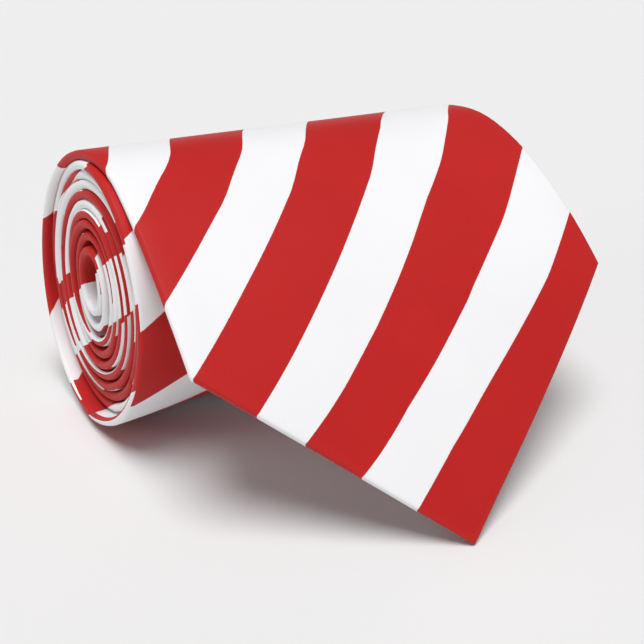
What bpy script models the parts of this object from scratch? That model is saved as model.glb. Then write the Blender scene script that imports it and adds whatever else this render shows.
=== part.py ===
"""A striped necktie, rolled up from its narrow end, with the wide end draped off the roll.

Metres, +Z up. The roll's axis lies along Y and the wide end drapes towards +X.
The tie is one long flat tube of cloth, so most pieces are strips: cross-sections placed
along one spiral path. A place on a strip is given by three numbers: along (distance from
the wide tip), across (sideways from the tie's middle line) and depth (in from the face).
"""

import bisect
import math

import bmesh
import bpy
from mathutils import Vector

# The tie laid flat.
TIE_LENGTH = 1.397
BLADE_HALF_WIDTH = 0.051
NECK_HALF_WIDTH = 0.019
TAIL_HALF_WIDTH = 0.025
NECK_ALONG = 0.900
BLADE_JOIN_ALONG = 0.610
TAIL_JOIN_ALONG = 0.850

# The stack of cloth through the tie's thickness.
TIE_THICKNESS = 0.0015
FACE_CLOTH = 0.0003
INTERLINING_TOP = 0.00055
INTERLINING_THICKNESS = 0.0004
EDGE_ROUND = 0.0007
SIDE_CLEARANCE = 0.0003
SMALLEST_HEM = 0.0003
INTERLINING_SHORTFALL = 0.004

# The roll's cross-section: an oval that leans towards the draped end.
ROLL_X = -0.02695
ROLL_HALF_WIDTH = 0.0315
ROLL_HALF_HEIGHT = 0.0355
ROLL_LEAN = math.radians(18)
ROLL_Z = 0.0335
TURN_PITCH = 0.00258
STATIONS_PER_TURN = 18
HINGE_ANGLE = math.radians(62)

# The draped end: a smooth curve from the top of the roll to the tip on the table.
TIP_X = 0.05855
TIP_Z = -0.00034
TIP_SLOPE = math.radians(-52)
TIP_REACH = 0.045
HINGE_SLOPE = math.radians(-12)
HINGE_REACH = 0.022
DRAPE_SPACING = 0.009
DRAPE_SAMPLES = 4000
HINGE_GAP = 0.0003
TIP_CUT = 0.0016
SHORTEST_FACET = 0.0004

# How far each turn's near edge stands back from the blade's: (along, recess).
NEAR_EDGE_RECESS = (
    (0.051, 0.0),
    (0.110, 0.0015),
    (0.320, 0.0040),
    (0.530, 0.0060),
    (0.740, 0.0068),
    (1.397, 0.0072),
)

# The opening in the back, between the folded hems: (distance from the end, half width).
BLADE_OPENING = ((0.0, 0.0004), (0.015, 0.0005), (0.051, 0.0370), (0.090, 0.0008))
TAIL_OPENING = ((0.0, 0.0004), (0.007, 0.0005), (0.025, 0.0150), (0.048, 0.0008))
TIPPING_INSET = 0.0005
BLADE_TIPPING_ENDS = (0.018, 0.086)
TAIL_TIPPING_ENDS = (0.010, 0.044)

# Threads.
THREAD_HALF_WIDTH = 0.0002
BAR_TACK_LENGTH = 0.003
BAR_TACK_HALF_WIDTH = 0.0012
BAR_TACK_RISE = 0.0004
BAR_TACK_CLEARANCE = 0.0001
BLADE_TACK_ALONG = 0.0915
TAIL_TACK_FROM_END = 0.0500
JOIN_GAP = 0.0009
JOIN_THREAD = 0.0003

# Bands and labels on the back.
BACK_CLEARANCE = 0.00035
LABEL_THICKNESS = 0.0003
KEEPER_ALONG = (0.180, 0.190)
KEEPER_HALF_WIDTH = 0.024
NAME_LABEL_ALONG = (0.194, 0.212)
NAME_LABEL_HALF_WIDTH = 0.019
CARE_LABEL_ALONG = (0.160, 0.172)
CARE_LABEL_HALF_WIDTH = 0.009


def ramp(value, points):
    """The straight-line reading of a list of (input, output) points."""
    if value <= points[0][0]:
        return points[0][1]
    for (left, low), (right, high) in zip(points, points[1:]):
        if value <= right:
            return low + (high - low) * (value - left) / (right - left)
    return points[-1][1]


def half_width(along):
    """Half the tie's width at a distance from the wide tip."""
    tail_corner = TIE_LENGTH - TAIL_HALF_WIDTH
    return ramp(
        along,
        (
            (0.0, 0.0),
            (BLADE_HALF_WIDTH, BLADE_HALF_WIDTH),
            (NECK_ALONG, NECK_HALF_WIDTH),
            (tail_corner, TAIL_HALF_WIDTH),
            (TIE_LENGTH, 0.0),
        ),
    )


def middle(along):
    """Where the tie's middle line lies along Y: the roll is wound with its near edge almost flush."""
    tail_corner = TIE_LENGTH - TAIL_HALF_WIDTH
    if along <= BLADE_HALF_WIDTH:
        return 0.0
    width = half_width(min(along, tail_corner))
    return -BLADE_HALF_WIDTH + ramp(along, NEAR_EDGE_RECESS) + width


def opening(along):
    """Half the gap between the folded hems on the back."""
    return max(ramp(along, BLADE_OPENING), ramp(TIE_LENGTH - along, TAIL_OPENING))


def oval_point(angle):
    """The face's place at an angle round the roll, which shrinks by one pitch each turn."""
    shrink = TURN_PITCH * (angle - HINGE_ANGLE) / (2 * math.pi)
    x = ROLL_X + (ROLL_HALF_WIDTH - shrink) * math.cos(angle)
    z = ROLL_Z + (ROLL_HALF_HEIGHT - shrink) * math.sin(angle + ROLL_LEAN)
    return Vector((x, 0.0, max(z, 0.0)))


def drape_point(share):
    """The face's place from the tip (0) to the top of the roll (1)."""
    tip = Vector((TIP_X, 0.0, TIP_Z))
    hinge = oval_point(HINGE_ANGLE)
    near_tip = tip - TIP_REACH * Vector((math.cos(TIP_SLOPE), 0.0, math.sin(TIP_SLOPE)))
    near_hinge = hinge + HINGE_REACH * Vector((math.cos(HINGE_SLOPE), 0.0, math.sin(HINGE_SLOPE)))
    rest = 1 - share
    tip_side = rest**3 * tip + 3 * rest**2 * share * near_tip
    return tip_side + 3 * rest * share**2 * near_hinge + share**3 * hinge


def drape_path():
    """Points from the tip to the hinge line, with one at each corner of the hems."""
    fine = [drape_point(i / DRAPE_SAMPLES) for i in range(DRAPE_SAMPLES + 1)]
    distances = [0.0]
    for a, b in zip(fine, fine[1:]):
        distances.append(distances[-1] + (b - a).length)
    total = distances[-1]
    wanted = [0.0, BLADE_OPENING[1][0], BLADE_HALF_WIDTH, BLADE_OPENING[3][0], total]
    marks = [wanted[0]]
    for start, end in zip(wanted, wanted[1:]):
        pieces = max(1, round((end - start) / DRAPE_SPACING))
        marks += [start + (end - start) * (i + 1) / pieces for i in range(pieces)]
    return [fine[min(bisect.bisect_left(distances, mark), DRAPE_SAMPLES)] for mark in marks]


def path_length(points):
    """The distance along a row of points."""
    return sum((b - a).length for a, b in zip(points, points[1:]))


def spiral_path(length):
    """Points round the roll, from the hinge line, a length from the wide tip, to the tail's tip."""
    points = [oval_point(HINGE_ANGLE)]
    step = 2 * math.pi / STATIONS_PER_TURN
    angle = HINGE_ANGLE
    while length < TIE_LENGTH:
        angle += step
        point = oval_point(angle)
        length += (point - points[-1]).length
        points.append(point)
    return points


class Path:
    """The face's line through the roll, read by distance along it."""

    def __init__(self, points):
        self.points = points
        self.along = [0.0]
        for a, b in zip(points, points[1:]):
            self.along.append(self.along[-1] + (b - a).length)
        self.inward = [self.corner_inward(i) for i in range(len(points))]

    def corner_inward(self, i):
        """The direction into the cloth at a corner, as long as keeps both facets' thickness even."""
        before = self.points[max(i, 1)] - self.points[max(i, 1) - 1]
        last = min(i + 1, len(self.points) - 1)
        after = self.points[last] - self.points[last - 1]
        normals = [Vector((-d.z, 0.0, d.x)).normalized() for d in (before, after)]
        both = (normals[0] + normals[1]).normalized()
        return both / both.dot(normals[0])

    def place(self, along, across, depth):
        """The point in space of a place on the tie."""
        i = 0
        while i < len(self.along) - 2 and self.along[i + 1] < along:
            i += 1
        share = (along - self.along[i]) / (self.along[i + 1] - self.along[i])
        point = self.points[i].lerp(self.points[i + 1], share)
        inward = self.inward[i].lerp(self.inward[i + 1], share)
        placed = point + inward * depth
        placed.y = middle(along) + across
        return placed

    def stations(self, start, end):
        """The path's own corners between two distances, with the two ends added."""
        first = start + SHORTEST_FACET
        last = end - SHORTEST_FACET
        inside = [along for along in self.along if first < along < last]
        return [start, *inside, end]


def add_solid(name, rings, material):
    """One closed body from a row of matching cross-sections."""
    mesh = bpy.data.meshes.new(name)
    build = bmesh.new()
    rows = [[build.verts.new(point) for point in ring] for ring in rings]
    count = len(rows[0])
    for row, following in zip(rows, rows[1:]):
        for i in range(count):
            j = (i + 1) % count
            build.faces.new((row[i], row[j], following[j], following[i]))
    build.faces.new(rows[0][::-1])
    build.faces.new(rows[-1])
    bmesh.ops.recalc_face_normals(build, faces=build.faces)
    if build.calc_volume(signed=True) < 0:
        bmesh.ops.reverse_faces(build, faces=build.faces)
    build.to_mesh(mesh)
    build.free()
    mesh.materials.append(material)
    body = bpy.data.objects.new(name, mesh)
    bpy.context.scene.collection.objects.link(body)
    return body


def add_cloth(name, colour, roughness, sheen=0.0):
    """A plain cloth material."""
    material = bpy.data.materials.new(name)
    material.use_nodes = True
    shader = material.node_tree.nodes["Principled BSDF"]
    shader.inputs["Base Color"].default_value = (*colour, 1.0)
    shader.inputs["Roughness"].default_value = roughness
    shader.inputs["Sheen Weight"].default_value = sheen
    return material


def envelope_section(along):
    """The face cloth's cross-section: a flat tube, open along the middle of its back."""
    wide = half_width(along)
    flat = wide - EDGE_ROUND
    gap = min(opening(along), flat - SMALLEST_HEM)
    back = TIE_THICKNESS
    right = (
        (flat, 0.0),
        (wide, back / 2),
        (flat, back),
        (gap, back),
        (gap, back - FACE_CLOTH),
        (flat, back - FACE_CLOTH),
        (flat, FACE_CLOTH),
    )
    left = tuple((-across, depth) for across, depth in reversed(right))
    return right + left


def add_envelope(name, path, start, end, material):
    """A length of the face cloth, folded round to its back."""
    rings = []
    for along in path.stations(start, end):
        rings.append([path.place(along, across, depth) for across, depth in envelope_section(along)])
    return add_solid(name, rings, material)


def add_strip(name, path, start, end, reach, depths, material):
    """A flat strip whose half width is reach(along), between two depths."""
    top, bottom = depths
    rings = []
    for along in path.stations(start, end):
        side = reach(along)
        corners = ((side, top), (side, bottom), (-side, bottom), (-side, top))
        rings.append([path.place(along, across, depth) for across, depth in corners])
    return add_solid(name, rings, material)


def inside_width(along):
    """Half the room inside the folded edges."""
    return half_width(along) - EDGE_ROUND - SIDE_CLEARANCE


def tipping_width(along):
    """Half the width of a lining panel, just inside the hems."""
    return opening(along) - TIPPING_INSET


def even(side):
    """A half width that stays the same along a strip."""
    return lambda along: side


def add_bar_tack(name, path, start, material):
    """A thick stitch across the seam, standing proud of the back."""
    low = TIE_THICKNESS + BAR_TACK_CLEARANCE
    depths = (low, low + BAR_TACK_RISE)
    return add_strip(name, path, start, start + BAR_TACK_LENGTH, even(BAR_TACK_HALF_WIDTH), depths, material)


def add_join(name, path, along, material):
    """The seam that joins two lengths of face cloth."""
    start = along - JOIN_THREAD / 2
    return add_strip(name, path, start, start + JOIN_THREAD, inside_width, (0.0, FACE_CLOTH), material)


def add_face(tie, drape_length, cloth):
    """The face cloth in the lengths it is cut in; the blade's is parted where it folds over the roll."""
    half_gap = JOIN_GAP / 2
    add_envelope("blade_face_drape", tie, TIP_CUT, drape_length - HINGE_GAP, cloth)
    add_envelope("blade_face_wrap", tie, drape_length, BLADE_JOIN_ALONG - half_gap, cloth)
    add_envelope("neck_face", tie, BLADE_JOIN_ALONG + half_gap, TAIL_JOIN_ALONG - half_gap, cloth)
    add_envelope("tail_face", tie, TAIL_JOIN_ALONG + half_gap, TIE_LENGTH - TIP_CUT, cloth)


def add_linings(tie, drape_length, interlining, tipping):
    """The interlining inside the tube and the lining panel in the back of each end."""
    middle_depths = (INTERLINING_TOP, INTERLINING_TOP + INTERLINING_THICKNESS)
    back_depths = (TIE_THICKNESS - FACE_CLOTH, TIE_THICKNESS)
    near = INTERLINING_SHORTFALL
    far = TIE_LENGTH - INTERLINING_SHORTFALL
    tail_start = TIE_LENGTH - TAIL_TIPPING_ENDS[1]
    tail_end = TIE_LENGTH - TAIL_TIPPING_ENDS[0]
    drape_end = drape_length - HINGE_GAP
    add_strip("interlining_drape", tie, near, drape_end, inside_width, middle_depths, interlining)
    add_strip("interlining_wrap", tie, drape_length, far, inside_width, middle_depths, interlining)
    add_strip("blade_tipping", tie, *BLADE_TIPPING_ENDS, tipping_width, back_depths, tipping)
    add_strip("tail_tipping", tie, tail_start, tail_end, tipping_width, back_depths, tipping)


def add_threads(tie, drape_length, thread):
    """The centre-back seam, its two bar tacks and the seams between the lengths of face cloth."""
    tail_tack = TIE_LENGTH - TAIL_TACK_FROM_END
    seam_end = tail_tack - BAR_TACK_LENGTH
    seam_depths = (TIE_THICKNESS - FACE_CLOTH, TIE_THICKNESS)
    add_strip("slip_stitch", tie, drape_length, seam_end, even(THREAD_HALF_WIDTH), seam_depths, thread)
    add_bar_tack("blade_bar_tack", tie, BLADE_TACK_ALONG, thread)
    add_bar_tack("tail_bar_tack", tie, tail_tack, thread)
    add_join("blade_to_neck_seam", tie, BLADE_JOIN_ALONG, thread)
    add_join("neck_to_tail_seam", tie, TAIL_JOIN_ALONG, thread)


def add_back_pieces(tie, face, label):
    """The band that holds the tail, and the two blank labels."""
    top = TIE_THICKNESS + BACK_CLEARANCE
    depths = (top, top + LABEL_THICKNESS)
    add_strip("keeper_loop", tie, *KEEPER_ALONG, even(KEEPER_HALF_WIDTH), depths, face)
    add_strip("name_label", tie, *NAME_LABEL_ALONG, even(NAME_LABEL_HALF_WIDTH), depths, label)
    add_strip("care_label", tie, *CARE_LABEL_ALONG, even(CARE_LABEL_HALF_WIDTH), depths, label)


def build_tie():
    """Every piece of the tie, from the face inwards."""
    face = add_cloth("printed polyester satin", (0.55, 0.03, 0.025), 0.42, 0.3)
    interlining = add_cloth("brushed interlining", (0.80, 0.78, 0.72), 0.9)
    tipping = add_cloth("tipping lining", (0.78, 0.78, 0.80), 0.5, 0.2)
    thread = add_cloth("polyester thread", (0.50, 0.03, 0.03), 0.6)
    label = add_cloth("woven label", (0.85, 0.85, 0.84), 0.7)
    drape = drape_path()
    drape_length = path_length(drape)
    tie = Path(drape + spiral_path(drape_length)[1:])
    add_face(tie, drape_length, face)
    add_linings(tie, drape_length, interlining, tipping)
    add_threads(tie, drape_length, thread)
    add_back_pieces(tie, face, label)


for old in list(bpy.data.objects):
    bpy.data.objects.remove(old, do_unlink=True)
build_tie()
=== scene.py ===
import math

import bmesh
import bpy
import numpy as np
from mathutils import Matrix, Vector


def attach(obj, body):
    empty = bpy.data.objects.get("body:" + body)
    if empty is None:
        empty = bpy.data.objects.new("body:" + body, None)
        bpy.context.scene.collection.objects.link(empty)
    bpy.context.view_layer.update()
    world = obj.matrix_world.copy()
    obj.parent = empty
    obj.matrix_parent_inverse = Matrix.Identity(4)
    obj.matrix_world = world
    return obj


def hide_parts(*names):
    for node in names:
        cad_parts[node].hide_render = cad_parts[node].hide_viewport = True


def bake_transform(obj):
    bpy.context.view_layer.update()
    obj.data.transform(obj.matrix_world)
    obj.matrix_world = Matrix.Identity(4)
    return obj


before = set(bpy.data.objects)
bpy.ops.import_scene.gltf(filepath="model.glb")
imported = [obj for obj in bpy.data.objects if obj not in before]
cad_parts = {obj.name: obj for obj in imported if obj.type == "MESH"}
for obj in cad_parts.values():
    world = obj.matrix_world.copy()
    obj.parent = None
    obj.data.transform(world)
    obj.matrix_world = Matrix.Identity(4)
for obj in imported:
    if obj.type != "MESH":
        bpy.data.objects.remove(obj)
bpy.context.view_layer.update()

# A printed necktie, rolled up from its narrow end, with the wide end draped off the roll.
# Metres, +Z up. The roll's axis lies along Y and the wide end drapes towards +X.
# A place on the cloth is given by along (distance from the wide tip), across (sideways
# from the tie's middle line) and depth (in from the face). The face follows two upright
# outlines, one at the near side and one at the far side, and the cloth runs between them.

MM_PER_METRE = 1000

# The tie laid flat.
TIE_LENGTH = 1.397
BLADE_HALF_WIDTH = 0.051
NECK_HALF_WIDTH = 0.019
TAIL_HALF_WIDTH = 0.025
NECK_ALONG = 0.900
BLADE_JOIN_ALONG = 0.610
TAIL_JOIN_ALONG = 0.850
TIP_START = 0.0004
NARROWEST_HALF_WIDTH = 1e-5
JOIN_GAP = 0.0002
UNDERSIDE_ALONG = 0.215

# The cloth's thickness, from the face inwards.
THICKNESS = 0.0018
CLOTH = 0.00035
EDGE_PUFF = 0.00028
PUFF_REACH = 0.006
EDGE_FULLNESS = 0.75
TIP_THINNING = 0.009
TIP_THICKNESS_SHARE = 0.35
INTERLINING_DEPTHS = (0.00075, 0.00115)
TIPPING_DEPTHS = (0.00140, 0.00156)
LABEL_DEPTHS = (0.00188, 0.00206)
JOIN_DEPTHS = (0.00006, CLOTH)
FLOOR_CLEARANCE = 0.0001

# The roll.
TURN_PITCH = 0.00258
HINGE_ANGLE = math.radians(62)
TURNS = 11.1
CORE_DRIFT = (0.0028, 0.0045)
CORE_CLOSING_START = 0.62
CORE_CLOSING = (0.0014, 0.0036)
TIP = (0.05847, 0.0006)
TIP_SKEW = -0.0039
TIP_SKEW_POWER = 1.5
DRAPE_SAMPLES = 2001
ROLL_SAMPLES = 20001
STATION_SPACING = 0.0027
SHORTEST_STEP = 0.0002
TIP_STATIONS = (0.0004, 0.0009, 0.0015, 0.0022, 0.0031, 0.0042, 0.0056)
CORNER_STATIONS = (0.0500, 0.0506, 0.0510, 0.0514, 0.0520)

# Small waves in the rolled edges, which start at EDGE_WAVES_ALONG: (size, rate, start).
EDGE_WAVES = ((0.00025, 41.0, 0.0), (0.00018, 97.0, 1.3))
EDGE_WAVES_ALONG = (0.200, 0.300)

# The floor, whose cove starts far from the tie.
FLOOR_REACH = 2.4
FLOOR_SIDES = 48
COVE_RADIUS = 1.2
COVE_SLOPE = math.radians(50)
COVE_STEPS = 8
FLOOR_COLOUR = (0.80, 0.80, 0.80, 1.0)

# How far each turn's near edge stands in from the blade's: (along, recess).
NEAR_EDGE_RECESS = (
    (0.051, 0.0),
    (0.100, 0.0010),
    (0.160, -0.0010),
    (0.215, -0.0032),
    (0.275, -0.0012),
    (0.340, 0.0006),
    (0.430, 0.0004),
    (0.620, 0.0002),
    (0.900, -0.0004),
    (1.397, -0.0012),
)

# The opening in the back, between the folded hems: (distance from the end, half width).
BLADE_OPENING = ((0.0, 0.0004), (0.015, 0.0005), (0.051, 0.0370), (0.090, 0.0006))
TAIL_OPENING = ((0.0, 0.0004), (0.007, 0.0005), (0.025, 0.0150), (0.048, 0.0006))

# Where the folded tube's skin has points: on the back from its lip, round its edge, and on the face.
BACK_SHARES = np.array([0.0, 0.012, 0.12, 0.3, 0.5, 0.7, 0.86, 1.0])
EDGE_ANGLES = np.radians([155, 130, 105, 80, 55, 30])
FRONT_SHARES = np.linspace(1.0, -1.0, 25)
STRIP_SHARES = np.linspace(1.0, -1.0, 17)
WIDEST_EDGE_SHARE = 0.6
WIDEST_OPENING_SHARE = 0.8

# Linings, which reach under the hems, and the room left inside the folded edges.
INSIDE_MARGIN = 0.0016
NARROWEST_LINING = 0.0004
INTERLINING_SHORTFALL = 0.004
TIPPING_TUCK = 0.004
BLADE_TIPPING = (0.006, 0.092)
TAIL_TIPPING = (TIE_LENGTH - 0.050, TIE_LENGTH - 0.006)

# Stitches.
STITCH_STEPS = 7
STITCH_SHARES = np.array([1.0, 0.6, 0.0, -0.6, -1.0])
STITCH_SINK = 0.0001
STITCH_RISE = 0.00028
STITCH_THREAD = 0.00004
STITCH_ROUNDNESS = 0.75
SEAM_ALONG = (0.108, TIE_LENGTH - 0.058)
SEAM_PITCH = 0.0085
SEAM_STITCH = (0.0042, 0.0003)
BAR_TACK_STITCH = (0.003, 0.00022)
BAR_TACK_OFFSETS = np.linspace(-0.001, 0.001, 6)
BLADE_TACK_ALONG = 0.0915
TAIL_TACK_ALONG = TIE_LENGTH - 0.050
JOIN_REACH = (-0.0008, 0.0006)
JOIN_MARGIN = 0.001

# The print: stripes slanted at 45 degrees, as a distance of along less across.
STRIPE_PERIOD = 0.0408
STRIPE_START = 0.0392
RED_SHARE = 0.539
STRIPE_SOFTNESS = 0.0025
STRIPES_BEFORE_START = 20.0
INK_BLEED = 0.00022
WEAR_REACH = 0.0022
# How far the print runs ahead, in millimetres, at places from the near edge (0) to the far (1).
PRINT_SHIFT_SIDES = (0.0, 0.15, 0.4, 0.65, 0.85, 1.0)
PRINT_SHIFTS = {
    0.0000: (0.0, 0.0, 0.0, 0.0, 0.0, 0.0),
    0.0120: (-3.6, -3.0, -1.8, -0.5, 0.7, 1.6),
    0.0220: (-6.0, -4.7, -2.8, -0.8, 1.4, 2.8),
    0.0330: (-4.0, -3.0, -2.0, -0.2, 2.4, 4.0),
    0.0410: (-1.4, -0.8, -0.4, 0.8, 3.6, 4.9),
    0.0510: (0.4, 0.7, 0.9, 2.0, 5.1, 6.1),
    0.0666: (4.6, 3.4, 2.2, 1.6, 4.6, 5.3),
    0.0858: (10.8, 7.4, 3.1, 0.9, 2.2, 3.6),
    0.1043: (11.0, 6.0, -0.4, -2.9, -1.9, -0.9),
    0.1250: (4.6, -2.3, -5.0, -5.8, -4.0, -3.2),
    0.1551: (0.2, -5.0, -8.3, -8.2, -5.6, -4.2),
    0.1832: (-4.8, -8.0, -9.5, -9.0, -6.0, -5.0),
    0.2100: (-5.7, -6.0, -6.0, -6.0, -6.0, -5.7),
    0.2350: (-5.2, 0.2, 9.2, 18.2, 25.4, 30.8),
    0.2475: (-5.0, 0.4, 9.4, 18.4, 25.6, 31.0),
    0.2718: (-6.3, -0.7, 8.6, 18.0, 25.4, 31.0),
    0.3000: (-5.0, 0.4, 9.4, 18.4, 25.6, 31.0),
    0.4200: (-6.0, -6.0, -6.0, -6.0, -6.0, -6.0),
}
# The print on the rolled edges, by height across its slant: (height, stripe distance).
RIM_SLANT = math.radians(37)
RIM_MARKS = (
    (-0.0100, 0.2960),
    (0.0183, 0.2652),
    (0.0340, 0.2432),
    (0.0455, 0.2244),
    (0.0659, 0.2024),
    (0.0721, 0.1836),
    (0.0850, 0.1700),
)
RIM_START = 0.200
RIM_START_BLEND = 0.01
RIM_REACH = 0.012
RIM_FACE_SHARE = 0.3
RIM_FOLD = 0.0009
RIM_FOLD_SHARES = (0.74, 0.82)
RIM_BACK_SHIFT = -0.016
# Where each turn's upper arc starts and how far round it reaches. The print is shifted on some
# turns' upper arcs, and on the back fold of some turns' lower arcs.
UPPER_ARC_START = math.radians(40)
UPPER_ARC_SWEEP = math.radians(145)
SHIFTED_ARC_TURNS = (2, 3, 5)
SHIFTED_FOLD_TURNS = (0, 2, 4, 7)

# The face cloth's colours.
RED_DARK = (0.485, 0.0165, 0.0155, 1.0)
RED_LIGHT = (0.515, 0.0185, 0.0175, 1.0)
RED_THREAD = (0.545, 0.0240, 0.0220, 1.0)
RED_WORN = (0.600, 0.0600, 0.0540, 1.0)
WHITE_DARK = (0.875, 0.875, 0.890, 1.0)
WHITE_LIGHT = (0.900, 0.900, 0.912, 1.0)
WHITE_THREAD = (0.860, 0.860, 0.878, 1.0)

# How often the fine parts of a cloth repeat along its flat coordinates.
FACE_THREAD_SCALE = 2600.0
FACE_PATCH_SCALE = 38.0
FACE_TWILL_SCALE = 700.0
PLAIN_THREAD_SCALE = 2200.0
PLAIN_PATCH_SCALE = 60.0
SLUB_SCALE = 900.0

# How deep the weave's bumps are, in metres, and how strongly they show.
FACE_TWILL_DEPTH = 0.000012
TWILL_STRENGTH = 0.5
SLUB_DEPTH = 0.00003
SLUB_STRENGTH = 0.3

# The part of a noise's output that a smooth step spreads over 0 to 1.
NOISE_SPREAD = (0.3, 0.7)

# The colour sockets of a Mix node, whose names are shared with its other kinds.
MIX_FIRST = 6
MIX_SECOND = 7
MIX_RESULT = 2

# Light: a sky, and broad lamps by name, the direction they shine from, and strength.
SKY_STRENGTH = 0.33
LAMPS = (("overhead light", (0.24, -0.16, 1.0), 2.66), ("front fill", (-0.1, -1.0, 0.25), 0.36))
LAMP_SPREAD = math.radians(30)

CAMERA_PLACE = (0.19967, -0.12981, 0.15468)
CAMERA_TILT = math.radians(61.407)
CAMERA_TURN = math.radians(57.904)
LENS_MM = 64.29
SENSOR_MM = 36.0


def ramp(value, points):
    """The straight-line reading of a list of (input, output) points."""
    inputs, outputs = zip(*points)
    return np.interp(value, inputs, outputs)


def eased(value, low, high):
    """0 up to low, 1 from high, and a smooth rise between."""
    share = np.clip((value - low) / (high - low), 0.0, 1.0)
    return share * share * (3 - 2 * share)


def half_width(along):
    """Half the tie's width at a distance from the wide tip."""
    widths = (
        (0.0, 0.0),
        (BLADE_HALF_WIDTH, BLADE_HALF_WIDTH),
        (NECK_ALONG, NECK_HALF_WIDTH),
        (TIE_LENGTH - TAIL_HALF_WIDTH, TAIL_HALF_WIDTH),
        (TIE_LENGTH, 0.0),
    )
    return ramp(along, widths)


def middle(along):
    """Where the tie's middle line lies along Y."""
    body = np.clip(along, BLADE_HALF_WIDTH, TIE_LENGTH - TAIL_HALF_WIDTH)
    waves = sum(size * np.sin(along * rate + start) for size, rate, start in EDGE_WAVES)
    waves = waves * eased(along, *EDGE_WAVES_ALONG)
    skew = TIP_SKEW * np.clip(1 - along / BLADE_HALF_WIDTH, 0.0, 1.0) ** TIP_SKEW_POWER
    return -BLADE_HALF_WIDTH + ramp(body, NEAR_EDGE_RECESS) + half_width(body) + waves + skew


def opening(along):
    """Half the gap between the folded hems on the back."""
    return np.maximum(ramp(along, BLADE_OPENING), ramp(TIE_LENGTH - along, TAIL_OPENING))


class Outline:
    """The face's line in one upright plane across the roll, from the tip to the core."""

    def __init__(self, roll, size, lean, reaches, tip_slope):
        self.roll_x, self.roll_z = roll
        self.half_width, self.half_height = size
        self.lean = math.radians(lean)
        self.hinge_reach, self.tip_reach = reaches
        self.tip_slope = math.radians(tip_slope)

    def roll_line(self, angle):
        """x, z and their rates at an angle round the roll, which shrinks by one pitch each turn."""
        rate = TURN_PITCH / (2 * math.pi)
        shrink = rate * (angle - HINGE_ANGLE)
        drift = (angle - HINGE_ANGLE) / (2 * math.pi * TURNS)
        closing = eased(drift, CORE_CLOSING_START, 1.0)
        wide = self.half_width - shrink - CORE_CLOSING[0] * closing
        high = self.half_height - shrink - CORE_CLOSING[1] * closing
        x = self.roll_x + wide * np.cos(angle) + CORE_DRIFT[0] * drift
        z = self.roll_z + high * np.sin(angle + self.lean) + CORE_DRIFT[1] * drift
        x_rate = -wide * np.sin(angle) - rate * np.cos(angle)
        z_rate = high * np.cos(angle + self.lean) - rate * np.sin(angle + self.lean)
        return x, z, x_rate, z_rate

    def drape_line(self, share):
        """x, z and their rates from the tip (0) to the top of the roll (1)."""
        hinge_x, hinge_z, x_rate, z_rate = self.roll_line(HINGE_ANGLE)
        speed = math.hypot(x_rate, z_rate)
        tip_x, tip_z = TIP
        near_tip = (
            tip_x - self.tip_reach * math.cos(self.tip_slope),
            tip_z - self.tip_reach * math.sin(self.tip_slope),
        )
        near_hinge = (
            hinge_x - self.hinge_reach * x_rate / speed,
            hinge_z - self.hinge_reach * z_rate / speed,
        )
        rest = 1 - share
        position = []
        rates = []
        for a, b, c, d in zip(TIP, near_tip, near_hinge, (hinge_x, hinge_z)):
            position.append(rest**3 * a + 3 * rest**2 * share * b + 3 * rest * share**2 * c + share**3 * d)
            rates.append(3 * rest**2 * (b - a) + 6 * rest * share * (c - b) + 3 * share**2 * (d - c))
        return (*position, *rates)

    def mapping(self):
        """Tables that turn a distance along into a drape share or a roll angle."""
        shares = np.linspace(0.0, 1.0, DRAPE_SAMPLES)
        x, z, _, _ = self.drape_line(shares)
        drape = np.concatenate([[0.0], np.cumsum(np.hypot(np.diff(x), np.diff(z)))])
        angles = np.linspace(HINGE_ANGLE, HINGE_ANGLE + 2 * math.pi * TURNS, ROLL_SAMPLES)
        x, z, _, _ = self.roll_line(angles)
        roll = drape[-1] + np.concatenate([[0.0], np.cumsum(np.hypot(np.diff(x), np.diff(z)))])
        return (drape, shares), (roll, angles)


# Each outline: the roll's middle, its half width and height, how far it leans, the lengths of the
# drape curve's handles at the roll and at the tip, and its slope at the tip. Angles are in degrees.
MEAN = Outline((-0.02695, 0.0335), (0.0315, 0.0355), 18.0, (0.022, 0.045), -52.0)
NEAR = Outline((-0.02340, 0.03555), (0.03169, 0.03535), 11.3, (0.01405, 0.04093), -55.6)
FAR = Outline((-0.02495, 0.03260), (0.03348, 0.03236), 20.8, (0.02180, 0.04197), -64.4)
DRAPE_TABLE, ROLL_TABLE = MEAN.mapping()
DRAPE_LENGTH = DRAPE_TABLE[0][-1]


def outline_points(outline, along):
    """x, z and their rates on an outline, at distances along."""
    share = np.interp(along, *DRAPE_TABLE)
    angle = np.interp(along, *ROLL_TABLE)
    on_drape = along < DRAPE_LENGTH
    pairs = zip(outline.drape_line(share), outline.roll_line(angle))
    return [np.where(on_drape, drape, roll) for drape, roll in pairs]


def place(along, across, depth):
    """Points on the tie, for arrays of one shape, as an array with x, y and z last."""
    y = middle(along) + across
    side = np.clip(0.5 + y / (2 * BLADE_HALF_WIDTH), 0.0, 1.0)
    near = outline_points(NEAR, along)
    far = outline_points(FAR, along)
    x, z, x_rate, z_rate = [a + (b - a) * side for a, b in zip(near, far)]
    speed = np.hypot(x_rate, z_rate)
    x = x - depth * z_rate / speed
    z = z + depth * x_rate / speed
    return np.stack([x, y, np.maximum(z, FLOOR_CLEARANCE)], axis=-1)


def stations(start, end, extra=()):
    """Distances along at which a strip has a cross-section."""
    count = max(2, round((end - start) / STATION_SPACING) + 1)
    marks = np.concatenate([np.linspace(start, end, count), [a for a in extra if start < a < end]])
    marks = np.sort(marks)
    keep = np.concatenate([[True], np.diff(marks) > SHORTEST_STEP])
    return marks[keep]


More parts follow.
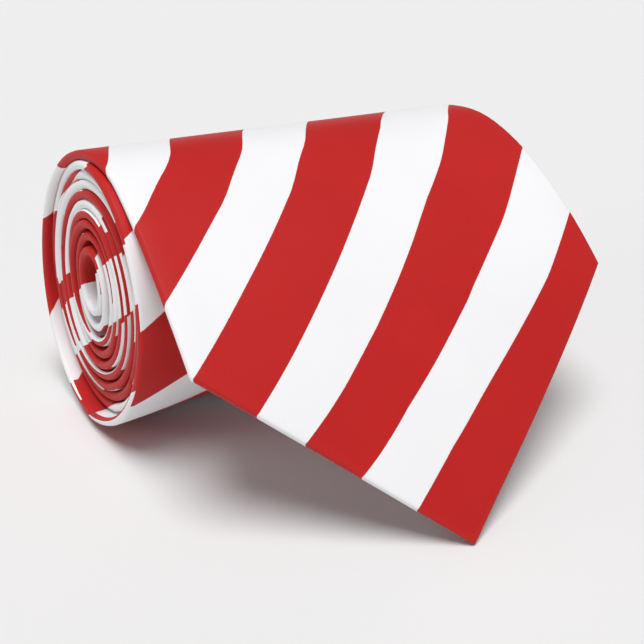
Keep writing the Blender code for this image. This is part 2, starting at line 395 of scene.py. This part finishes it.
def thickness(along, from_edge):
    """The tie's thickness, which is a little more at its folded edges and less at its tips."""
    puff = 1 + EDGE_PUFF / THICKNESS * (1 - eased(from_edge, 0.0, PUFF_REACH))
    from_tip = eased(np.minimum(along, TIE_LENGTH - along), 0.0, TIP_THINNING)
    return THICKNESS * puff * (TIP_THICKNESS_SHARE + (1 - TIP_THICKNESS_SHARE) * from_tip)


def skin(along, inset):
    """One skin of the folded tube, from the back's right lip round to its left lip."""
    wide = half_width(along)[:, None]
    along = along[:, None]
    full = thickness(along, 0.0)
    radius = np.minimum(full / 2, WIDEST_EDGE_SHARE * wide)
    flat = wide - radius
    gap = np.minimum(opening(along), WIDEST_OPENING_SHARE * flat)
    right = []
    for share in BACK_SHARES:
        across = gap + (flat - gap) * share
        depth = thickness(along, flat - across) - inset
        right.append((across, depth, flat + math.pi * radius + flat - across))
    for angle in EDGE_ANGLES:
        across = flat + (radius - inset) * math.sin(angle) ** EDGE_FULLNESS
        depth = full / 2 - (full / 2 - inset) * math.cos(angle)
        right.append((across, depth, flat + radius * angle))
    left = [(-across, depth, -unfolded) for across, depth, unfolded in reversed(right)]
    front = [(flat * share, inset + 0 * flat, flat * share) for share in FRONT_SHARES]
    across, depth, unfolded = zip(*(right + front + left))
    return [np.hstack(np.broadcast_arrays(*values)) for values in (across, depth, unfolded)]


def strip_skin(along, reach, depth):
    """One skin of a flat strip whose half width is reach(along)."""
    across = reach(along)[:, None] * STRIP_SHARES[None, :]
    return [across, np.full_like(across, depth), across]


def print_shift(along, side):
    """How far the print runs ahead, in metres, at a distance along and a place from edge to edge."""
    marks = list(PRINT_SHIFTS)
    columns = [np.interp(along, marks, values) for values in zip(*PRINT_SHIFTS.values())]
    total = np.zeros_like(along)
    for i, values in enumerate(columns):
        nearness = np.interp(side, PRINT_SHIFT_SIDES, np.eye(len(PRINT_SHIFT_SIDES))[i])
        total = total + nearness * values
    return total / MM_PER_METRE


def grid_mesh(name, along, outer, inner):
    """A closed sheet between an outer and an inner skin, capped at both ends."""
    across, depth, unfolded = [np.hstack([a, b[:, ::-1]]) for a, b in zip(outer, inner)]
    rows, columns = across.shape
    distance = np.broadcast_to(along[:, None], across.shape)
    points = place(distance, across, depth).reshape(-1, 3)
    faces = []
    for row in range(rows - 1):
        for column in range(columns):
            following = (column + 1) % columns
            here = row * columns
            there = here + columns
            faces.append((here + column, here + following, there + following, there + column))
    for row in (0, rows - 1):
        base = row * columns
        for column in range(columns // 2 - 1):
            mirrored = columns - 1 - column
            faces.append((base + column, base + column + 1, base + mirrored - 1, base + mirrored))
    mesh = bpy.data.meshes.new(name)
    mesh.from_pydata(points.tolist(), [], faces)
    add_coordinates(mesh, distance, across, depth, unfolded, points)
    build = bmesh.new()
    build.from_mesh(mesh)
    bmesh.ops.recalc_face_normals(build, faces=build.faces)
    build.to_mesh(mesh)
    build.free()
    mesh.shade_smooth()
    piece = bpy.data.objects.new(name, mesh)
    bpy.context.scene.collection.objects.link(piece)
    return piece


def rim_stripe(along, depth, from_edge, points):
    """Each point's place in the print as it lies on the roll's near end."""
    height = points[:, 2] * math.cos(RIM_SLANT) - points[:, 0] * math.sin(RIM_SLANT)
    angle = np.interp(along, *ROLL_TABLE) - UPPER_ARC_START
    turn = np.floor(angle / (2 * math.pi))
    in_upper_arc = np.mod(angle, 2 * math.pi) < UPPER_ARC_SWEEP
    shallow, deep = RIM_FOLD_SHARES
    back_fold = eased(depth, shallow * THICKNESS, deep * THICKNESS) * (from_edge < RIM_FOLD)
    back_fold = back_fold * np.isin(turn, SHIFTED_FOLD_TURNS)
    shifted = np.where(in_upper_arc, np.isin(turn, SHIFTED_ARC_TURNS), back_fold)
    return ramp(height, RIM_MARKS).reshape(along.shape) + RIM_BACK_SHIFT * shifted


def add_coordinates(mesh, along, across, depth, unfolded, points):
    """Gives each point its place on the flat cloth, its place in the print, and its wear."""
    wide = np.maximum(half_width(along), NARROWEST_HALF_WIDTH)
    side = np.clip(0.5 + unfolded / (2 * wide), 0.0, 1.0)
    from_edge = wide - np.abs(across)
    near_rim = eased(along, RIM_START - RIM_START_BLEND, RIM_START + RIM_START_BLEND)
    near_rim = near_rim * eased(depth, 0.0, RIM_FACE_SHARE * THICKNESS) * (across < RIM_REACH - wide)
    values = {
        "stripe": along - unfolded + print_shift(along, side),
        "rim_stripe": rim_stripe(along, depth, from_edge, points),
        "rim": near_rim,
        "wear": 1 - eased(from_edge, 0.0, WEAR_REACH),
    }
    for title, value in values.items():
        attribute = mesh.attributes.new(title, "FLOAT", "POINT")
        attribute.data.foreach_set("value", np.ascontiguousarray(value, dtype=np.float32).ravel())
    corners = np.empty(len(mesh.loops), dtype=np.int32)
    mesh.loops.foreach_get("vertex_index", corners)
    flat = np.stack([unfolded.ravel(), along.ravel()], axis=-1)[corners]
    layer = mesh.uv_layers.new(name="cloth")
    layer.data.foreach_set("uv", flat.astype(np.float32).ravel())


def add_strip(name, along, reach, depths):
    """A flat strip between two depths, whose half width is reach(along)."""
    low, high = depths
    return grid_mesh(name, along, strip_skin(along, reach, low), strip_skin(along, reach, high))


def add_envelope(name, start, end):
    """The folded face cloth between two distances along."""
    tail_stations = tuple(TIE_LENGTH - a for a in TIP_STATIONS)
    along = stations(start, end, TIP_STATIONS + CORNER_STATIONS + tail_stations)
    outer = skin(along, 0.0)
    piece = grid_mesh(name, along, outer, skin(along, CLOTH))
    return piece


def finish_piece(piece, material, slot, *nodes):
    """Gives a piece its material and hides the CAD nodes it stands for."""
    piece.data.materials.append(material)
    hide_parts(*nodes)


def bend_piece(piece):
    """Bakes the piece's place into its mesh."""
    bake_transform(piece)


class Graph:
    """A material's node tree, with short ways to add and join nodes."""

    def __init__(self, name):
        self.material = bpy.data.materials.new(name)
        self.material.use_nodes = True
        self.tree = self.material.node_tree
        self.shader = self.tree.nodes["Principled BSDF"]

    def feed(self, socket, value):
        """Joins an output to a socket, or sets the socket to a plain value."""
        if isinstance(value, bpy.types.NodeSocket):
            self.tree.links.new(value, socket)
        else:
            socket.default_value = value

    def math(self, operation, first, second=0.0, third=0.0):
        """The result of a sum on up to three values."""
        node = self.tree.nodes.new("ShaderNodeMath")
        node.operation = operation
        for socket, value in zip(node.inputs, (first, second, third)):
            self.feed(socket, value)
        return node.outputs["Value"]

    def attribute(self, name):
        """A value stored on the mesh's points."""
        node = self.tree.nodes.new("ShaderNodeAttribute")
        node.attribute_name = name
        return node.outputs["Fac"]

    def cloth_uv(self):
        """A point's place on the flat cloth, in metres."""
        node = self.tree.nodes.new("ShaderNodeUVMap")
        node.uv_map = "cloth"
        return node.outputs["UV"]

    def noise(self, vector, scale, detail=2.0):
        """Soft random values from 0 to 1."""
        node = self.tree.nodes.new("ShaderNodeTexNoise")
        self.feed(node.inputs["Vector"], vector)
        node.inputs["Scale"].default_value = scale
        node.inputs["Detail"].default_value = detail
        return node.outputs["Fac"]

    def twill(self, vector, scale):
        """Slightly uneven diagonal ribs."""
        node = self.tree.nodes.new("ShaderNodeTexWave")
        node.wave_type = "BANDS"
        node.bands_direction = "DIAGONAL"
        self.feed(node.inputs["Vector"], vector)
        node.inputs["Scale"].default_value = scale
        node.inputs["Distortion"].default_value = 0.6
        node.inputs["Detail Scale"].default_value = 2.0
        return node.outputs["Fac"]

    def smooth_range(self, value, low, high, out_low=0.0, out_high=1.0):
        """A smooth step between two outputs as the value goes from low to high."""
        node = self.tree.nodes.new("ShaderNodeMapRange")
        node.interpolation_type = "SMOOTHSTEP"
        node.inputs["From Min"].default_value = low
        node.inputs["From Max"].default_value = high
        node.inputs["To Min"].default_value = out_low
        node.inputs["To Max"].default_value = out_high
        self.feed(node.inputs["Value"], value)
        return node.outputs["Result"]

    def mix(self, share, first, second):
        """A colour between two others."""
        node = self.tree.nodes.new("ShaderNodeMix")
        node.data_type = "RGBA"
        self.feed(node.inputs["Factor"], share)
        self.feed(node.inputs[MIX_FIRST], first)
        self.feed(node.inputs[MIX_SECOND], second)
        return node.outputs[MIX_RESULT]

    def bump(self, height, distance, strength, normal=None):
        """A normal that follows a height, laid over another normal if one is given."""
        node = self.tree.nodes.new("ShaderNodeBump")
        node.inputs["Distance"].default_value = distance
        node.inputs["Strength"].default_value = strength
        self.feed(node.inputs["Height"], height)
        if normal is not None:
            self.feed(node.inputs["Normal"], normal)
        return node.outputs["Normal"]


def stripe_mask(graph, coordinate, bleed):
    """1 in the red stripes and 0 in the white, from a distance across the stripes."""
    ragged = graph.math("ADD", coordinate, bleed)
    turns = graph.math("DIVIDE", graph.math("SUBTRACT", ragged, STRIPE_START), STRIPE_PERIOD)
    phase = graph.math("FRACT", graph.math("ADD", turns, STRIPES_BEFORE_START))
    from_middle = graph.math("ABSOLUTE", graph.math("SUBTRACT", phase, RED_SHARE / 2))
    wrapped = graph.math("MINIMUM", from_middle, graph.math("SUBTRACT", 1.0, from_middle))
    edge = RED_SHARE / 2
    return graph.smooth_range(wrapped, edge - STRIPE_SOFTNESS, edge + STRIPE_SOFTNESS, 1.0, 0.0)


def weave_normal(graph, uv, scale, distance):
    """The bump of a fine diagonal weave, with a slower unevenness of the threads under it."""
    slubs = graph.noise(uv, SLUB_SCALE, 3.0)
    slow = graph.bump(slubs, SLUB_DEPTH, SLUB_STRENGTH)
    return graph.bump(graph.twill(uv, scale), distance, TWILL_STRENGTH, slow)


def face_cloth_material():
    """Printed polyester satin: crisp red and white stripes on a fine weave."""
    graph = Graph("printed polyester satin")
    uv = graph.cloth_uv()
    threads = graph.noise(uv, FACE_THREAD_SCALE, 2.0)
    bleed = graph.math("MULTIPLY", graph.math("SUBTRACT", threads, 0.5), INK_BLEED)
    wound = stripe_mask(graph, graph.attribute("stripe"), bleed)
    rolled = stripe_mask(graph, graph.attribute("rim_stripe"), bleed)
    on_rim = graph.math("GREATER_THAN", graph.attribute("rim"), 0.5)
    difference = graph.math("SUBTRACT", rolled, wound)
    mask = graph.math("MULTIPLY_ADD", difference, on_rim, wound)
    broad = graph.smooth_range(graph.noise(uv, FACE_PATCH_SCALE, 3.0), *NOISE_SPREAD)
    fine = graph.smooth_range(threads, *NOISE_SPREAD)
    worn = graph.math("MULTIPLY", graph.attribute("wear"), graph.math("MULTIPLY_ADD", fine, 0.4, 0.25))
    red = graph.mix(broad, RED_DARK, RED_LIGHT)
    red = graph.mix(graph.math("MULTIPLY", fine, 0.25), red, RED_THREAD)
    red = graph.mix(graph.math("MULTIPLY", worn, 0.25), red, RED_WORN)
    white = graph.mix(broad, WHITE_DARK, WHITE_LIGHT)
    white = graph.mix(graph.math("MULTIPLY", fine, 0.3), white, WHITE_THREAD)
    colour = graph.mix(mask, white, red)
    graph.feed(graph.shader.inputs["Base Color"], colour)
    roughness = graph.math("MULTIPLY_ADD", fine, 0.08, graph.math("MULTIPLY_ADD", worn, 0.12, 0.44))
    graph.feed(graph.shader.inputs["Roughness"], roughness)
    graph.shader.inputs["Specular IOR Level"].default_value = 0.12
    graph.shader.inputs["Sheen Weight"].default_value = 0.04
    graph.shader.inputs["Sheen Roughness"].default_value = 0.4
    graph.feed(graph.shader.inputs["Normal"], weave_normal(graph, uv, FACE_TWILL_SCALE, FACE_TWILL_DEPTH))
    return graph.material


def plain_cloth_material(name, dark, light, roughness, sheen, weave_scale, weave_depth):
    """An unprinted cloth or thread, with its weave and uneven colour."""
    graph = Graph(name)
    uv = graph.cloth_uv()
    broad = graph.smooth_range(graph.noise(uv, PLAIN_PATCH_SCALE, 3.0), *NOISE_SPREAD)
    fine = graph.smooth_range(graph.noise(uv, PLAIN_THREAD_SCALE, 2.0), *NOISE_SPREAD)
    colour = graph.mix(broad, (*dark, 1.0), (*light, 1.0))
    colour = graph.mix(graph.math("MULTIPLY", fine, 0.3), colour, (*dark, 1.0))
    graph.feed(graph.shader.inputs["Base Color"], colour)
    graph.feed(graph.shader.inputs["Roughness"], graph.math("MULTIPLY_ADD", fine, 0.1, roughness))
    graph.shader.inputs["Specular IOR Level"].default_value = 0.25
    graph.shader.inputs["Sheen Weight"].default_value = sheen
    graph.feed(graph.shader.inputs["Normal"], weave_normal(graph, uv, weave_scale, weave_depth))
    return graph.material


def inside_width(along):
    """Half the room inside the folded edges."""
    return np.maximum(half_width(along) - INSIDE_MARGIN, NARROWEST_LINING)


def tipping_width(along):
    """Half the width of a lining panel, which is tucked under the hems."""
    return np.minimum(opening(along) + TIPPING_TUCK, inside_width(along))


def join_width(along):
    """Half the length of a seam across the tie."""
    return half_width(along) - JOIN_MARGIN


def even_width(reach):
    """A half width that stays the same along a strip."""
    return lambda along: np.full_like(along, reach)


def add_lining(name, start, end, reach, depths, held, rests_on):
    """A strip of lining between two distances along."""
    along = stations(start, end)
    piece = add_strip(name, along, reach, depths)
    2 * reach(along)
    return piece


def joined(pieces):
    """Several meshes as one object, the first of them."""
    if len(pieces) > 1:
        with bpy.context.temp_override(active_object=pieces[0], selected_editable_objects=pieces):
            bpy.ops.object.join()
    return pieces[0]


def add_stitches(name, marks, length, reach, offset=0.0):
    """A row of separate stitches on the back, each a rounded strip that dips in at its ends."""
    arch = np.sin(np.linspace(0.0, math.pi, STITCH_STEPS))[:, None]
    widths = reach * (0.5 + 0.5 * arch)
    stitches = []
    for mark in marks:
        along = np.linspace(mark, mark + length, STITCH_STEPS)
        across = widths * STITCH_SHARES[None, :] + offset
        low = np.full_like(across, THICKNESS - STITCH_SINK)
        high = low + STITCH_RISE * arch * (1 - STITCH_ROUNDNESS * STITCH_SHARES**2) + STITCH_THREAD
        stitches.append(grid_mesh(name, along, [across, low, across], [across, high, across]))
    return joined(stitches)


def add_bar_tack(name, along, node):
    """Close stitches side by side across the seam."""
    rows = []
    for i, offset in enumerate(BAR_TACK_OFFSETS):
        rows.append(add_stitches(f"{name}_{i}", [along], *BAR_TACK_STITCH, offset))
    tack = joined(rows)
    tack.name = name
    finish_piece(tack, thread, "thread", node)
    return tack


def add_join(name, along, node):
    """The sunken seam that joins two lengths of face cloth."""
    before, after = JOIN_REACH
    piece = add_strip(name, np.linspace(along + before, along + after, 5), join_width, JOIN_DEPTHS)
    finish_piece(piece, thread, "thread", node)
    return piece


def add_band(name, start, end, reach, material, slot, node):
    """A band or label lying on the back."""
    piece = add_strip(name, np.linspace(start, end, 7), even_width(reach), LABEL_DEPTHS)
    finish_piece(piece, material, slot, node)
    return piece


face_cloth = face_cloth_material()
interlining_cloth = plain_cloth_material(
    "brushed interlining",
    dark=(0.70, 0.68, 0.62),
    light=(0.82, 0.80, 0.74),
    roughness=0.85,
    sheen=0.3,
    weave_scale=160.0,
    weave_depth=0.00012,
)
tipping_cloth = plain_cloth_material(
    "lining satin",
    dark=(0.80, 0.80, 0.83),
    light=(0.90, 0.90, 0.92),
    roughness=0.38,
    sheen=0.1,
    weave_scale=520.0,
    weave_depth=0.00003,
)
thread = plain_cloth_material(
    "polyester thread",
    dark=(0.42, 0.02, 0.02),
    light=(0.56, 0.03, 0.03),
    roughness=0.5,
    sheen=0.1,
    weave_scale=1100.0,
    weave_depth=0.00005,
)
label_cloth = plain_cloth_material(
    "woven label",
    dark=(0.78, 0.78, 0.77),
    light=(0.88, 0.88, 0.87),
    roughness=0.6,
    sheen=0.1,
    weave_scale=260.0,
    weave_depth=0.00008,
)

# The face cloth, in the lengths it is cut in. The blade's is parted where it touches the table.
blade_end = BLADE_JOIN_ALONG - JOIN_GAP
blade = add_envelope("blade_draped_cloth", TIP_START, UNDERSIDE_ALONG)
finish_piece(blade, face_cloth, "face_cloth", "blade_face_drape")
blade_rolled = add_envelope("blade_rolled_cloth", UNDERSIDE_ALONG, blade_end)
finish_piece(blade_rolled, face_cloth, "face_cloth", "blade_face_wrap")
neck_end = TAIL_JOIN_ALONG - JOIN_GAP
neck = add_envelope("neck_cloth", BLADE_JOIN_ALONG, neck_end)
finish_piece(neck, face_cloth, "face_cloth", "neck_face")
tail = add_envelope("tail_cloth", TAIL_JOIN_ALONG, TIE_LENGTH - TIP_START)
finish_piece(tail, face_cloth, "face_cloth", "tail_face")

# The interlining, parted at the same place, and the two lining panels.
lining = add_lining(
    "blade_interlining",
    INTERLINING_SHORTFALL,
    UNDERSIDE_ALONG,
    inside_width,
    INTERLINING_DEPTHS,
    "draped",
    ["blade_draped_cloth"],
)
finish_piece(lining, interlining_cloth, "interlining", "interlining_drape")
lining_rolled = add_lining(
    "rolled_interlining",
    UNDERSIDE_ALONG,
    TIE_LENGTH - INTERLINING_SHORTFALL,
    inside_width,
    INTERLINING_DEPTHS,
    "folded",
    ["blade_rolled_cloth"],
)
finish_piece(lining_rolled, interlining_cloth, "interlining", "interlining_wrap")
tipping = add_lining(
    "blade_tip_lining", *BLADE_TIPPING, tipping_width, TIPPING_DEPTHS, "draped", ["blade_draped_cloth"]
)
finish_piece(tipping, tipping_cloth, "tipping", "blade_tipping")
tail_lining = add_lining(
    "tail_tip_lining", *TAIL_TIPPING, tipping_width, TIPPING_DEPTHS, "folded", ["tail_cloth"]
)
finish_piece(tail_lining, tipping_cloth, "tipping", "tail_tipping")

# The threads.
stitches = add_stitches("centre_back_stitches", np.arange(*SEAM_ALONG, SEAM_PITCH), *SEAM_STITCH)
finish_piece(stitches, thread, "thread", "slip_stitch")
blade_tack = add_bar_tack("wide_end_bar_tack", BLADE_TACK_ALONG, "blade_bar_tack")
tail_tack = add_bar_tack("narrow_end_bar_tack", TAIL_TACK_ALONG, "tail_bar_tack")
joins = [
    add_join("blade_neck_join", BLADE_JOIN_ALONG, "blade_to_neck_seam"),
    add_join("neck_tail_join", TAIL_JOIN_ALONG, "neck_to_tail_seam"),
]

# The band that holds the tail, and the two blank labels.
bands = [
    add_band("tail_keeper_band", 0.180, 0.190, 0.024, face_cloth, "face_cloth", "keeper_loop"),
    add_band("blank_name_label", 0.194, 0.212, 0.019, label_cloth, "label", "name_label"),
    add_band("blank_care_label", 0.160, 0.172, 0.009, label_cloth, "label", "care_label"),
]

for piece in (blade, lining, tipping, blade_tack):
    bend_piece(piece)
for piece in (blade_rolled, neck, tail, lining_rolled, tail_lining, stitches, tail_tack, *joins, *bands):
    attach(piece, "roll")


def add_floor():
    """A plain pale floor that turns up into a low rim on every side, well away from the tie."""
    profile = [(0.0, 0.0)]
    for step in range(COVE_STEPS + 1):
        slope = COVE_SLOPE * step / COVE_STEPS
        profile.append((FLOOR_REACH + COVE_RADIUS * math.sin(slope), COVE_RADIUS * (1 - math.cos(slope))))
    build = bmesh.new()
    edge = [build.verts.new((reach, 0.0, rise)) for reach, rise in profile]
    outline = [build.edges.new(pair) for pair in zip(edge, edge[1:])]
    bmesh.ops.spin(
        build,
        geom=edge + outline,
        cent=(0.0, 0.0, 0.0),
        axis=(0.0, 0.0, 1.0),
        angle=2 * math.pi,
        steps=FLOOR_SIDES,
        use_merge=True,
    )
    bmesh.ops.remove_doubles(build, verts=build.verts, dist=0.001)
    bmesh.ops.recalc_face_normals(build, faces=build.faces)
    mesh = bpy.data.meshes.new("floor")
    build.to_mesh(mesh)
    build.free()
    mesh.shade_smooth()
    floor = bpy.data.objects.new("floor", mesh)
    bpy.context.scene.collection.objects.link(floor)
    graph = Graph("pale floor")
    graph.shader.inputs["Base Color"].default_value = FLOOR_COLOUR
    graph.shader.inputs["Roughness"].default_value = 1.0
    graph.shader.inputs["Specular IOR Level"].default_value = 0.0
    mesh.materials.append(graph.material)


def add_sky():
    """A white sky that is brightest overhead and fades to nothing at the floor."""
    world = bpy.data.worlds.new("studio")
    world.use_nodes = True
    tree = world.node_tree
    direction = tree.nodes.new("ShaderNodeTexCoord").outputs["Generated"]
    parts = tree.nodes.new("ShaderNodeSeparateXYZ")
    tree.links.new(direction, parts.inputs["Vector"])
    brightness = tree.nodes.new("ShaderNodeMath")
    brightness.operation = "MULTIPLY"
    brightness.inputs[1].default_value = SKY_STRENGTH
    tree.links.new(parts.outputs["Z"], brightness.inputs[0])
    above_floor = tree.nodes.new("ShaderNodeMath")
    above_floor.operation = "MAXIMUM"
    above_floor.inputs[1].default_value = 0.0
    tree.links.new(brightness.outputs["Value"], above_floor.inputs[0])
    background = tree.nodes["Background"]
    background.inputs["Color"].default_value = (1.0, 1.0, 1.0, 1.0)
    tree.links.new(above_floor.outputs["Value"], background.inputs["Strength"])
    bpy.context.scene.world = world


def add_lamps():
    """Broad, far lamps that shine from fixed directions."""
    for name, source, strength in LAMPS:
        lamp = bpy.data.lights.new(name, "SUN")
        lamp.energy = strength
        lamp.angle = LAMP_SPREAD
        body = bpy.data.objects.new(name, lamp)
        body.rotation_euler = Vector(source).to_track_quat("Z", "Y").to_euler()
        bpy.context.scene.collection.objects.link(body)


def add_camera():
    """The camera that sees the tie from in front, above and to its right."""
    lens = bpy.data.cameras.new("camera")
    lens.sensor_width = SENSOR_MM
    lens.lens = LENS_MM
    camera = bpy.data.objects.new("camera", lens)
    camera.location = CAMERA_PLACE
    camera.rotation_euler = (CAMERA_TILT, 0.0, CAMERA_TURN)
    bpy.context.scene.collection.objects.link(camera)
    bpy.context.scene.camera = camera


add_floor()
add_sky()
add_lamps()
add_camera()
bpy.context.scene.view_settings.view_transform = "Standard"
